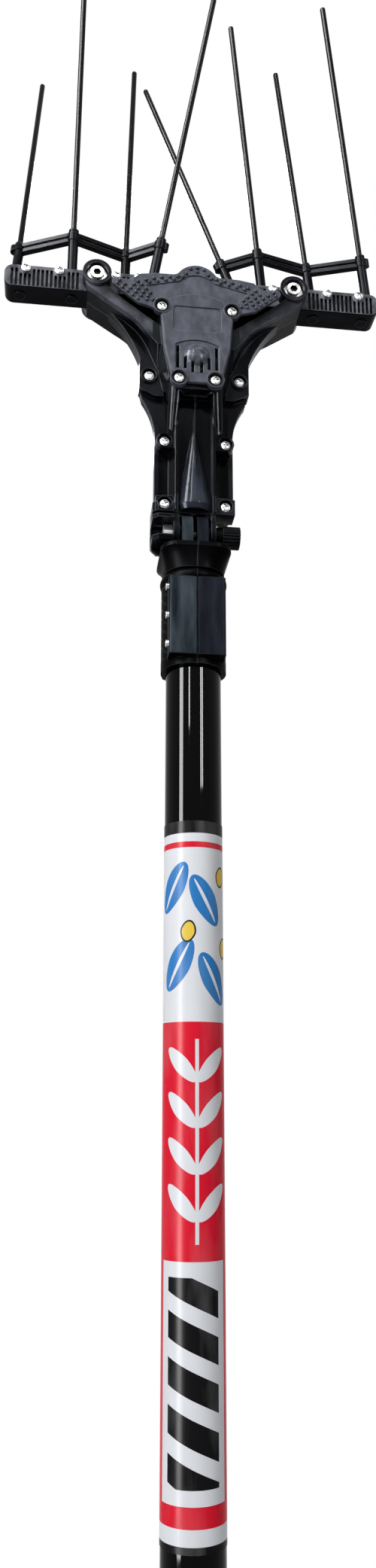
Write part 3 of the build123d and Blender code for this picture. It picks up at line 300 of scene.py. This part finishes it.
# Switch rocker. Red plastic with a satin skin, moulded in one piece.
# It tips on a steel pin through the housing's nose.
rocker_red = moulded("rocker_red", dark=(0.45, 0.012, 0.014), light=(0.52, 0.03, 0.03),
                     worn_and_lit_edge=(0.6, 0.09, 0.08), roughness=0.36, shine=0.05, grain=1800, edge=0.0005)
dress(rocker_red, "switch_rocker")


# Metal parts. Zinc-plated rocker pin, pivot nuts and screws, oiled motor and plates, plain steel gears,
# levers, roller and rivets, and brass bushes and contacts. They are turned or stamped, then screwed, pressed
# or riveted in.
def metal(name, dark, light, roughness, turned=(1, 1, 1)):
    """A plated or turned metal, clouded, with fine marks along the given stretch."""
    finish = new_finish(name, dark, roughness, shine=0.5, metal=1.0)
    cloud = noise(finish, scale=120, detail=4)
    drive(finish, "Base Color", mix(finish, cloud, dark, light))
    drive(finish, "Roughness", spread_over(finish, cloud, low=0.3, high=0.75, start=roughness - 0.08,
                                           end=roughness + 0.14))
    relief(finish, noise(finish, scale=900, detail=2, stretch=turned), depth=0.0001, strength=0.12)
    return finish


zinc = metal("bright_zinc", (0.26, 0.26, 0.25), (0.46, 0.46, 0.45), roughness=0.3)
oiled = metal("oiled_steel", (0.03, 0.03, 0.03), (0.09, 0.09, 0.09), roughness=0.5)
steel = metal("plain_steel", (0.30, 0.30, 0.31), (0.52, 0.52, 0.52), roughness=0.38, turned=(1, 0.1, 1))
brass = metal("contact_brass", (0.62, 0.42, 0.14), (0.78, 0.58, 0.24), roughness=0.3)
screw_steel = metal("screw_steel", (0.22, 0.22, 0.23), (0.44, 0.44, 0.44), roughness=0.22)
dress(zinc, "rocker_pin", "pivot_nuts")
dress(oiled, "motor", "motor_plate", "bearing_plate")
dress(steel, "motor_pinion", "crank_gear", "crank_roller",
      "left_drive_lever", "right_drive_lever", "left_lever_rivets", "right_lever_rivets")
dress(brass, "inlet_contacts", "crank_bush", "left_pivot_bush", "right_pivot_bush")
dress(screw_steel, "clamp_screws", "shell_screws", "cover_screws", "left_bar_screws", "right_bar_screws")


# Comb pivot bolts. Flanged button heads of zinc-plated steel in the cups of the arms.
# The hex socket is painted dark, as the shade inside it.
def from_spot(finish, across, height, spot_x, spot_z):
    """How far the place on the piece is from a spot, seen from the front."""
    off = step(finish, "CombineXYZ", ("X", measure(finish, "SUBTRACT", across, spot_x)),
               ("Y", measure(finish, "SUBTRACT", height, spot_z)))
    return step(finish, "VectorMath", (0, off.outputs[0]), operation="LENGTH").outputs["Value"]


pivot_x = 0.078
pivot_z = 1.575
socket_reach = 0.0033
head_top_y = -0.0214
pivot_plating = (0.3, 0.3, 0.295)
socket_shade = (0.025, 0.023, 0.02)
pivot_zinc = new_finish("pivot_zinc", pivot_plating, roughness=0.3, shine=0.5, metal=1.0)
x, y, z = where(pivot_zinc)
reach = from_spot(pivot_zinc, measure(pivot_zinc, "ABSOLUTE", x), z, pivot_x, pivot_z)
in_socket = all_of(pivot_zinc, above(pivot_zinc, y, head_top_y), below(pivot_zinc, reach, socket_reach))
drive(pivot_zinc, "Base Color", mix(pivot_zinc, in_socket, pivot_plating, socket_shade))
cloud = noise(pivot_zinc, scale=140, detail=4)
drive(pivot_zinc, "Roughness", spread_over(pivot_zinc, cloud, low=0.3, high=0.75, start=0.18, end=0.42))
relief(pivot_zinc, noise(pivot_zinc, scale=900, detail=2), depth=0.0001, strength=0.12)
dress(pivot_zinc, "pivot_bolts")

# Tilt hinge bolt. Zinc-plated steel with its hex head trapped on the left, darker along the
# stretch that runs through the clamp's tongue.
head_ends_x = -0.0163
bolt_plating = (0.55, 0.55, 0.54)
shank_dark = (0.03, 0.028, 0.025)
bolt_zinc = new_finish("bolt_zinc", bolt_plating, roughness=0.3, shine=0.5, metal=1.0)
on_shank = above(bolt_zinc, where(bolt_zinc)["X"], head_ends_x)
drive(bolt_zinc, "Base Color", mix(bolt_zinc, on_shank, bolt_plating, shank_dark))
relief(bolt_zinc, noise(bolt_zinc, scale=900, detail=2), depth=0.0001, strength=0.12)
dress(bolt_zinc, "hinge_bolt")

# Pole clamp. Two halves of glass-filled nylon screwed together round the tube. Black where it is hidden
# from wear, and scuffed to a streaked bluish grey on the flat fronts of the block and of the hinge tongue.
block_front_y = -0.0262
block_low = 1.2575
block_high = 1.3165
tongue_front_y = -0.0085
tongue_low = 1.3452


def scuff_and_painted_light(finish, mask, dark, light, scale, polish, streak=(1, 1, 1)):
    """Lays a streaked colour over a finish where the mask is 1, rubbed to the given roughness. It serves for
    scuffs and for painted light and shade.
    """
    shader = finish.node_tree.nodes["Principled BSDF"].inputs
    under = shader["Base Color"].links[0].from_socket
    rough = shader["Roughness"].links[0].from_socket
    streaks = spread_over(finish, noise(finish, scale, detail=8, stretch=streak), low=0.36, high=0.66)
    drive(finish, "Base Color", mix(finish, mask, under, mix(finish, streaks, dark, light)))
    smooth = step(finish, "Mix", ("Factor", mask), ("A", rough), ("B", polish), data_type="FLOAT")
    drive(finish, "Roughness", smooth.outputs[0])


def clamp_nylon(name, scuffed_dark, scuffed_light):
    """Black moulded nylon, scuffed on the flat front of the clamp's block and of its tongue."""
    finish = moulded(name, dark=(0.0008, 0.0008, 0.001), light=(0.0024, 0.0024, 0.003),
                     worn_and_lit_edge=(0.06, 0.064, 0.07), roughness=0.36, shine=0.007, grain=2000, edge=0.001)
    spot = where(finish)
    block = all_of(finish, below(finish, spot["Y"], block_front_y),
                   between(finish, spot["Z"], block_low, block_high))
    tongue = all_of(finish, below(finish, spot["Y"], tongue_front_y), above(finish, spot["Z"], tongue_low))
    scuff_and_painted_light(finish, measure(finish, "MAXIMUM", block, tongue), scuffed_dark, scuffed_light, scale=70,
          polish=0.32, streak=(1.6, 1, 0.3))
    return finish


dress(clamp_nylon("clamp_scuffed", (0.01, 0.0145, 0.02), (0.056, 0.072, 0.088)), "clamp_half_left")
dress(clamp_nylon("clamp_dark", (0.008, 0.0095, 0.015), (0.019, 0.022, 0.032)), "clamp_half_right")


# Head shells and tilt knob. Two black mouldings with a satin skin, screwed together along their flange, and
# a duller knob on the hinge bolt. The recessed neck is polished smooth and painted darker as shade. Its cone
# is rubbed grey, with painted light that makes it lighter towards the bottom, and the fronts of the arms
# carry a painted highlight band, fainter on the right arm, which is painted in shade.
def shell_plastic(name):
    """The black plastic of both shells."""
    return moulded(name, dark=(0.002, 0.0021, 0.003), light=(0.009, 0.0097, 0.0135),
                   worn_and_lit_edge=(0.085, 0.092, 0.115), roughness=0.24, shine=0.03, grain=2500, edge=0.0011)


dress(shell_plastic("shell_black"), "head_shell_rear")
knob_black = moulded("knob_black", dark=(0.0008, 0.0008, 0.001), light=(0.003, 0.0031, 0.004),
                     worn_and_lit_edge=(0.06, 0.064, 0.07), roughness=0.36, shine=0.01, grain=2000, edge=0.001)
dress(knob_black, "tilt_knob")
front_black = shell_plastic("front_black")
x, y, z = where(front_black)
sideways = measure(front_black, "ABSOLUTE", x)
neck_half = 0.027
neck_low = 1.39
neck_fades = 1.465
neck_high = 1.475
# Painted shade: the recessed neck is darkened as the shade in it, and made smoother.
neck_painted_shade = all_of(front_black, below(front_black, sideways, neck_half), above(front_black, z, neck_low),
              spread_over(front_black, z, low=neck_high, high=neck_fades))
scuff_and_painted_light(front_black, neck_painted_shade, (0.0008, 0.0008, 0.001), (0.005, 0.0053, 0.007), scale=60, polish=0.1,
      streak=(1, 1, 0.3))
cone_half = 0.0127
cone_front_y = -0.0092
cone_low = 1.379
cone_fades = 1.403
cone_high = 1.436
# Partly painted light: the cone is rubbed grey and made lighter towards the bottom as painted light.
cone_rub_and_painted_light = all_of(front_black, below(front_black, sideways, cone_half), below(front_black, y, cone_front_y),
              above(front_black, z, cone_low), spread_over(front_black, z, low=cone_high, high=cone_fades))
scuff_and_painted_light(front_black, cone_rub_and_painted_light, (0.016, 0.019, 0.028), (0.058, 0.066, 0.09), scale=60, polish=0.12,
      streak=(1, 1, 0.4))
arm_lean = 0.592
arm_x = 0.055
arm_z = 1.5436
arm_front_y = -0.0145
arm_inner = 0.034
band_full = 0.002
band_ends = 0.0075
middle_half = 0.01
right_highlight_share = 0.3
# Painted highlight: a lighter band along the fronts of the arms, kept fainter on the right arm as painted
# shade.
off_x = measure(front_black, "MULTIPLY", measure(front_black, "SUBTRACT", sideways, arm_x), sin(arm_lean))
off_z = measure(front_black, "MULTIPLY", measure(front_black, "SUBTRACT", z, arm_z), cos(arm_lean))
off_line = measure(front_black, "ABSOLUTE", measure(front_black, "SUBTRACT", off_x, off_z))
arm_painted_highlight = all_of(front_black, spread_over(front_black, off_line, low=band_ends, high=band_full),
              spread_over(front_black, x, low=-middle_half, high=middle_half, start=1.0, end=right_highlight_share),
              below(front_black, y, arm_front_y), above(front_black, sideways, arm_inner))
scuff_and_painted_light(front_black, arm_painted_highlight, (0.032, 0.034, 0.043), (0.1, 0.105, 0.128), scale=90, polish=0.26)
dress(front_black, "head_shell_front")

# Front cover. A thin bluish-grey moulding with a matt, scuffed skin, held by four screws.
# Its dome is rubbed and carries a painted highlight, and the raised cups round the screws are painted dark
# as the shade inside them.
dome_z = 1.5035
dome_reach = 0.0098
dome_foot_y = -0.0258
cup_reach = 0.0063
cover_screws = ((0.0274, 1.5455), (0.014, 1.4825))
cover_grey = moulded("cover_grey", dark=(0.068, 0.072, 0.091), light=(0.105, 0.111, 0.142),
                     worn_and_lit_edge=(0.2, 0.21, 0.245), roughness=0.34, shine=0.04, grain=1800, edge=0.001,
                     smear=(1, 1, 0.6), patches=150)
x, y, z = where(cover_grey)
reach = from_spot(cover_grey, x, z, 0.0, dome_z)
# Partly painted highlight: the dome's patches mix rubbing with painted highlights.
dome_rub_and_highlight = all_of(cover_grey, below(cover_grey, reach, dome_reach), below(cover_grey, y, dome_foot_y))
scuff_and_painted_light(cover_grey, dome_rub_and_highlight, (0.05, 0.053, 0.068), (0.125, 0.132, 0.16), scale=260, polish=0.2)
sideways = measure(cover_grey, "ABSOLUTE", x)
# Painted shade: the cups round the screws are darkened as the shade inside them.
for cup_x, cup_z in cover_screws:
    cup_painted_shade = below(cover_grey, from_spot(cover_grey, sideways, z, cup_x, cup_z), cup_reach)
    scuff_and_painted_light(cover_grey, cup_painted_shade, (0.003, 0.003, 0.0038), (0.012, 0.0125, 0.015), scale=300, polish=0.45)
dress(cover_grey, "front_cover")


# Bumps on the cover. Small domes of the cover's own plastic, moulded with it in rows on its fins and crown.
# They stand outside the smooth panel.
def new_tree(name, *sizes):
    """A node tree with a mesh of places going in, named sizes and a finish, and a mesh coming out."""
    tree = bpy.data.node_groups.new(name, "GeometryNodeTree")
    tree.interface.new_socket("Places", in_out="INPUT", socket_type="NodeSocketGeometry")
    for size in sizes:
        tree.interface.new_socket(size, in_out="INPUT", socket_type="NodeSocketFloat")
    tree.interface.new_socket("Facing", in_out="INPUT", socket_type="NodeSocketVector")
    tree.interface.new_socket("Finish", in_out="INPUT", socket_type="NodeSocketMaterial")
    tree.interface.new_socket("Result", in_out="OUTPUT", socket_type="NodeSocketGeometry")
    return tree, tree.nodes.new("NodeGroupInput").outputs, tree.nodes.new("NodeGroupOutput").inputs


def grow(tree, kind, *inputs, **settings):
    """The outputs of one geometry node."""
    return add_node(tree, kind, inputs, settings).outputs


def flat_dome(tree, given, segments, rings):
    """A ball of the given radius, flattened or drawn out to the given height."""
    ball = grow(tree, "GeometryNodeMeshUVSphere", ("Segments", segments), ("Rings", rings),
                ("Radius", given["Radius"]))
    flat = grow(tree, "ShaderNodeMath", (0, given["Height"]), (1, given["Radius"]), operation="DIVIDE")
    shape = grow(tree, "ShaderNodeCombineXYZ", ("X", 1.0), ("Y", 1.0), ("Z", flat[0]))
    return grow(tree, "GeometryNodeTransform", ("Geometry", ball[0]), ("Scale", shape[0]))[0]


def repeat(name, places, tree, body, slot, **values):
    """Runs the tree on the places and keeps the result as a plain mesh that rides on the body."""
    mesh = bpy.data.meshes.new(name)
    mesh.from_pydata(places, [], [])
    piece = bpy.data.objects.new(name, mesh)
    bpy.context.scene.collection.objects.link(piece)
    modifier = piece.modifiers.new(name, "NODES")
    modifier.node_group = tree
    for item in tree.interface.items_tree:
        word = item.name.replace(" ", "_")
        if item.in_out == "INPUT" and word in values:
            modifier[item.identifier] = values[word]
    grown = piece.evaluated_get(bpy.context.evaluated_depsgraph_get())
    piece.data = bpy.data.meshes.new_from_object(grown)
    piece.modifiers.remove(modifier)
    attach(piece, body)


hinge_z = 1.363
cover_face_y = -0.025
to_front = (pi / 2, 0, 0)
# Each row of the right half, from the hinge: the place of its first bump, of its last one and their number.
bump_rows = (((0.0624, 0.1999), (0.0464, 0.1873), 5), ((0.0606, 0.2028), (0.0394, 0.1872), 6),
             ((0.0496, 0.1999), (0.0348, 0.1874), 5), ((0.0434, 0.2004), (0.0366, 0.1934), 3),
             ((0.0464, 0.2032), (0.0340, 0.2072), 3), ((0.0280, 0.2088), (0.0152, 0.2108), 3),
             ((0.0374, 0.2034), (0.0184, 0.2079), 4), ((0.0112, 0.2112), (0.0112, 0.2112), 1),
             ((0.0088, 0.2142), (0.0052, 0.2188), 2), ((0, 0.2202), (0, 0.2164), 2))
bumps = []
for (first_x, first_z), (last_x, last_z), count in bump_rows:
    for number in range(count):
        share = number / max(count - 1, 1)
        across = first_x + share * (last_x - first_x)
        height = hinge_z + first_z + share * (last_z - first_z)
        bumps += [(side * across, cover_face_y, height) for side in ((-1, 1) if across else (1,))]
domes, given, result = new_tree("domed_bumps", "Radius", "Height")
bump = flat_dome(domes, given, segments=10, rings=6)
set_out = grow(domes, "GeometryNodeInstanceOnPoints", ("Points", given["Places"]), ("Instance", bump),
               ("Rotation", given["Facing"]))
whole = grow(domes, "GeometryNodeRealizeInstances", ("Geometry", set_out[0]))
soft = grow(domes, "GeometryNodeSetShadeSmooth", ("Geometry", whole[0]))
finished = grow(domes, "GeometryNodeSetMaterial", ("Geometry", soft[0]), ("Material", given["Finish"]))
domes.links.new(finished[0], result[0])
repeat("fin_bumps", bumps, domes, "head", "grey_plastic", Radius=0.0015, Height=0.0019,
       Facing=to_front, Finish=cover_grey)

# Screw heads. Zinc-plated pan heads, turned as the driver left them, their cross recess painted dark as the
# shade inside it.
# They sit on the shanks of the shell, cover, bar and clamp screws.
recess_dark = metal("recess_dark", (0.02, 0.02, 0.02), (0.06, 0.06, 0.06), roughness=0.4)
heads, given, result = new_tree("cross_heads", "Radius", "Height", "Recess Width", "Recess Length")
heads.interface.new_socket("Recess Finish", in_out="INPUT", socket_type="NodeSocketMaterial")
most_turn = 3.1
raised = grow(heads, "ShaderNodeCombineXYZ", ("Z", given["Height"]))
cut = flat_dome(heads, given, segments=24, rings=12)
for long_way, short_way in (("X", "Y"), ("Y", "X")):
    blade = grow(heads, "ShaderNodeCombineXYZ", (long_way, given["Recess Length"]),
                 (short_way, given["Recess Width"]), ("Z", given["Recess Length"]))
    bar = grow(heads, "GeometryNodeMeshCube", ("Size", blade[0]))
    lifted = grow(heads, "GeometryNodeTransform", ("Geometry", bar[0]), ("Translation", raised[0]))
    marked = grow(heads, "GeometryNodeStoreNamedAttribute", ("Geometry", lifted[0]), ("Name", "recess"),
                  ("Value", True), data_type="BOOLEAN", domain="FACE")
    cut = grow(heads, "GeometryNodeMeshBoolean", ("Mesh 1", cut), ("Mesh 2", marked[0]),
               operation="DIFFERENCE")[0]
set_out = grow(heads, "GeometryNodeInstanceOnPoints", ("Points", given["Places"]), ("Instance", cut),
               ("Rotation", given["Facing"]))
turn = grow(heads, "FunctionNodeRandomValue", (2, 0.0), (3, most_turn), ("Seed", 7), data_type="FLOAT")
spin = grow(heads, "ShaderNodeCombineXYZ", ("Z", turn[1]))
turned = grow(heads, "GeometryNodeRotateInstances", ("Instances", set_out[0]), ("Rotation", spin[0]))
whole = grow(heads, "GeometryNodeRealizeInstances", ("Geometry", turned[0]))
plated = grow(heads, "GeometryNodeSetMaterial", ("Geometry", whole[0]), ("Material", given["Finish"]))
in_recess = grow(heads, "GeometryNodeInputNamedAttribute", ("Name", "recess"), data_type="BOOLEAN")
finished = grow(heads, "GeometryNodeSetMaterial", ("Geometry", plated[0]), ("Selection", in_recess[0]),
                ("Material", given["Recess Finish"]))
heads.links.new(finished[0], result[0])
shell_screws = ((0.0355, -0.0071, 0.132), (0.0235, -0.0111, 0.0725), (0.023, -0.0111, 0.0195))
cover_screw_y = -0.0251
bar_screws = (-0.0555, -0.0295, 0.015, 0.033)
bar_screw_y = -0.0125
bar_screw_rise = 0.218
clamp_screws = (-0.098, -0.076, -0.054)
clamp_screw_x = 0.0222
clamp_screw_y = 0.0236
places = [(side * x, y, hinge_z + z) for side in (-1, 1) for x, y, z in shell_screws]
places += [(side * x, cover_screw_y, z) for side in (-1, 1) for x, z in cover_screws]
repeat("shell_screw_heads", places, heads, "head", "bright_steel", Radius=0.0033, Height=0.0013,
       Recess_Width=0.0015, Recess_Length=0.0048, Facing=to_front, Finish=screw_steel,
       Recess_Finish=recess_dark)
for side, body in ((-1, "left_comb"), (1, "right_comb")):
    places = [(side * (pivot_x - along), bar_screw_y, hinge_z + bar_screw_rise) for along in bar_screws]
    repeat(body + "_screw_heads", places, heads, body, "bright_steel", Radius=0.0033, Height=0.0014,
           Recess_Width=0.0011, Recess_Length=0.0044, Facing=to_front, Finish=screw_steel,
           Recess_Finish=recess_dark)
for side, name in ((-1, "front"), (1, "back")):
    places = [(side * clamp_screw_x, side * clamp_screw_y, hinge_z + z) for z in clamp_screws]
    repeat("clamp_screw_heads_" + name, places, heads, "pole", "bright_steel", Radius=0.0025, Height=0.001,
           Recess_Width=0.001, Recess_Length=0.0036, Facing=(0, side * pi / 2, 0), Finish=screw_steel,
           Recess_Finish=recess_dark)

# Comb bars and tine sockets. Black nylon mouldings, the sockets braced to each other in a zigzag and screwed
# to the bars. Twigs have rubbed the ribbed fronts of the bars grey, and they are painted lighter still as
# sheen.
bar_front_y = -0.0102
bar_top_z = 1.5855
comb_black = moulded("comb_black", dark=(0.0014, 0.0014, 0.002), light=(0.006, 0.0062, 0.0084),
                     worn_and_lit_edge=(0.12, 0.125, 0.14), roughness=0.22, shine=0.022, grain=2500, edge=0.0006,
                     smear=(0.4, 1, 1))
spot = where(comb_black)
# Partly painted sheen: the fronts of the bars are rubbed grey and lightened as sheen.
bar_face_rub_and_sheen = all_of(comb_black, below(comb_black, spot["Y"], bar_front_y),
                  below(comb_black, spot["Z"], bar_top_z))
scuff_and_painted_light(comb_black, bar_face_rub_and_sheen, (0.05, 0.052, 0.061), (0.16, 0.166, 0.188), scale=150, polish=0.3)
dress(comb_black, "left_comb_bar", "right_comb_bar", "left_tine_carrier", "right_tine_carrier")

# Tines. Drawn rods of black glass fibre, held in the sockets of the combs.
# They are glossy, with fine lines along their length.
tine_black = new_finish("tine_black", (0.001, 0.001, 0.0013), roughness=0.14, shine=0.05)
fibres = noise(tine_black, scale=150, detail=3, stretch=(1, 1, 0.2))
drive(tine_black, "Base Color", mix(tine_black, fibres, (0.0008, 0.0008, 0.001), (0.003, 0.003, 0.0035)))
drive(tine_black, "Roughness", spread_over(tine_black, fibres, low=0.3, high=0.7, start=0.1, end=0.18))
relief(tine_black, noise(tine_black, scale=900, detail=2, stretch=(1, 1, 0.1)), depth=0.00005, strength=0.03)
dress(tine_black, "left_tines", "right_tines")

# Floor. A plain round sheet of pale paper under the end cap, nearly white to the camera and in reflections.
# It keeps the object's soft shadow.
floor_z = cad_box[0][2]
floor_r = 1.6
floor_points = 64
floor_glow = 0.7
rim = [(floor_r * cos(2 * pi * k / floor_points), floor_r * sin(2 * pi * k / floor_points), floor_z)
       for k in range(floor_points)]
sheet = bpy.data.meshes.new("floor")
sheet.from_pydata(rim, [], [list(range(floor_points))])
floor = bpy.data.objects.new("floor", sheet)
bpy.context.scene.collection.objects.link(floor)
paper = new_finish("pale_paper", (0.9, 0.9, 0.9), roughness=0.8, shine=0.2)
drive(paper, "Base Color", mix(paper, noise(paper, scale=4), (0.88, 0.88, 0.88), (0.92, 0.92, 0.92)))
ray = step(paper, "LightPath").outputs
seen = measure(paper, "MAXIMUM", ray["Is Camera Ray"], ray["Is Glossy Ray"])
glow = step(paper, "Emission", ("Color", (1, 1, 1, 1)), ("Strength", 1.0))
laid = step(paper, "MixShader", (0, measure(paper, "MULTIPLY", seen, floor_glow)),
            (1, paper.node_tree.nodes["Principled BSDF"].outputs[0]), (2, glow.outputs[0]))
paper.node_tree.links.new(laid.outputs[0], paper.node_tree.nodes["Material Output"].inputs["Surface"])
sheet.materials.append(paper)

# Studio light. A white surround, soft lamps from the upper left, front, top, right and back, and upright
# strips in front that only draw the bright lines on the lacquer, the shells and the tines.
surround_light = 0.2
scene = bpy.context.scene
scene.view_settings.view_transform = "Standard"
world = bpy.data.worlds.new("white_surround")
scene.world = world
world.use_nodes = True
ray = step(world, "LightPath").outputs
seen = measure(world, "MAXIMUM", ray["Is Glossy Ray"], ray["Is Transmission Ray"])
seen = measure(world, "MAXIMUM", ray["Is Camera Ray"], seen)
level = spread_over(world, seen, low=0.0, high=1.0, start=surround_light, end=1.0)
background = world.node_tree.nodes["Background"].inputs
background["Color"].default_value = (1, 1, 1, 1)
world.node_tree.links.new(level, background["Strength"])


def lamp(name, place, aim, wide, tall, power, gloss_only=False):
    """A soft rectangular lamp that faces a point. One for gloss alone only draws reflections."""
    light = bpy.data.lights.new(name, "AREA")
    light.shape = "RECTANGLE"
    light.size = wide
    light.size_y = tall
    light.energy = power
    holder = bpy.data.objects.new(name, light)
    scene.collection.objects.link(holder)
    holder.location = place
    holder.rotation_euler = (Vector(aim) - Vector(place)).to_track_quat("-Z", "Y").to_euler()
    holder.visible_diffuse = not gloss_only


def strip(name, azimuth, low, high, wide, glow):
    """An upright strip lamp for gloss alone, a step and a half from the pole, as bright as glow all over."""
    away = 1.5
    turn = radians(azimuth)
    middle = (low + high) / 2
    place = (away * sin(turn), -away * cos(turn), middle)
    lamp(name, place, (0, 0, middle), wide, high - low, glow * pi * wide * (high - low), gloss_only=True)


lamp("key_left", place=(-1.8, -1.8, 2.9), aim=(0, 0, 1.3), wide=0.8, tall=0.8, power=80)
lamp("front_above", place=(-0.15, -2.1, 3.36), aim=(0, 0, 1.5), wide=0.9, tall=0.8, power=14)
lamp("overhead", place=(0.15, 0.2, 3.2), aim=(0, 0, 1.5), wide=0.5, tall=0.3, power=8)
lamp("fill_right", place=(1.6, -1.0, 2.7), aim=(0, 0, 1.5), wide=0.4, tall=0.6, power=4)
lamp("back_above", place=(0.1, 2.1, 3.2), aim=(0, 0, 1.4), wide=0.9, tall=0.8, power=40)
strip("window_left", azimuth=-57, low=0.2, high=3.4, wide=0.4, glow=110)
strip("tube_middle", azimuth=-23, low=1.71, high=4.0, wide=0.12, glow=150)
strip("tube_right", azimuth=24, low=1.58, high=2.2, wide=0.1, glow=150)
strip("tube_far_right", azimuth=30.5, low=1.58, high=2.2, wide=0.1, glow=150)

# Camera. It stands a step in front at chest height, a little to the left, and looks up at the head.
# Its lens and shift were fitted to the photo's frame, which is given in pixels.
yaw = radians(7.0)
pitch = radians(15.9)
camera_away = 0.769
camera_z = 0.95
photo_wide = 500
photo_tall = 2083
focal_pixels = 1504
middle_pixel = 257
sensor = 36
lens = bpy.data.cameras.new("camera")
camera = bpy.data.objects.new("camera", lens)
scene.collection.objects.link(camera)
scene.camera = camera
camera.location = (-camera_away * sin(yaw), -camera_away * cos(yaw), camera_z)
camera.rotation_euler = (pi / 2 + pitch, 0, -yaw)
lens.sensor_fit = "VERTICAL"
lens.sensor_height = sensor
lens.lens = sensor * focal_pixels / photo_tall
lens.shift_x = -(middle_pixel - photo_wide / 2) / photo_tall
lens.clip_start = 0.01
